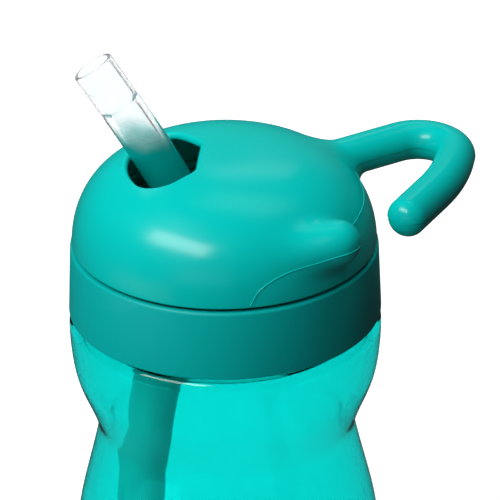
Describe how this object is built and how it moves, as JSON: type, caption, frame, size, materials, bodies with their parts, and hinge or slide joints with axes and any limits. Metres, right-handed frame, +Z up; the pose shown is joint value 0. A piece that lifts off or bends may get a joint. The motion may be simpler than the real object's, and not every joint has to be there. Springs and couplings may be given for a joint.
{
  "type": "water bottle",
  "caption": "Waisted see-through straw bottle with a screw lid, a domed cap that turns to cover the soft straw, a curled carry hook and a thumb tab.",
  "frame": {"origin": "middle of the face that the bottle stands on", "axes": "+Z up along the bottle's axis; the straw leans towards -X and the hook is on the +X side"},
  "size_m": [0.0971, 0.0746, 0.1709],
  "materials": {
    "bottle_plastic": "clear tinted plastic, polished",
    "lid_plastic": "satin teal",
    "deck_plastic": "dark satin",
    "cap_plastic": "glossy teal",
    "straw_silicone": "clear soft silicone",
    "seal_silicone": "translucent soft silicone",
    "tube_plastic": "teal, slightly translucent",
    "ring_rubber": "dark, matt"
  },
  "bodies": {
    "bottle": {"bottle_body": "bottle_plastic"},
    "gasket": {"lid_gasket": "seal_silicone"},
    "lid": {"collar_band": "lid_plastic", "lid_deck": "deck_plastic", "port_grommet": "seal_silicone", "straw_post": "tube_plastic", "straw_tube": "tube_plastic", "vent_valve": "seal_silicone", "friction_ring": "ring_rubber"},
    "cap": {"dome_shell": "cap_plastic", "dome_snap_ring": "cap_plastic", "carry_hook": "cap_plastic", "thumb_tab": "cap_plastic"},
    "straw": {"mouth_straw": "straw_silicone"}
  },
  "joints": [
    {"name": "lid_lift", "type": "slide", "parent": "bottle", "child": "gasket", "axis": [0, 0, 1], "range_m": [0, 0.0076]},
    {"name": "lid_unscrew", "type": "hinge", "parent": "gasket", "child": "lid", "pos_m": [0, 0, 0.1225], "axis": [0, 0, 1], "range_deg": [0, 540]},
    {"name": "cap_turn", "type": "hinge", "parent": "lid", "child": "cap", "pos_m": [0, 0, 0.126], "axis": [0, 0, 1], "range_deg": [-105, 0]},
    {"name": "straw_fold", "type": "hinge", "parent": "lid", "child": "straw", "pos_m": [-0.01016, 0.0017, 0.1345], "axis": [0.165, 0.9863, 0], "range_deg": [0, 124], "deforming": ["mouth_straw"]}
  ],
  "couplings": [
    {"joint": "lid_lift", "follows": "lid_unscrew", "m_per_rad": 0.00079577},
    {"joint": "straw_fold", "follows": "cap_turn", "ratio": -1.181}
  ]
}
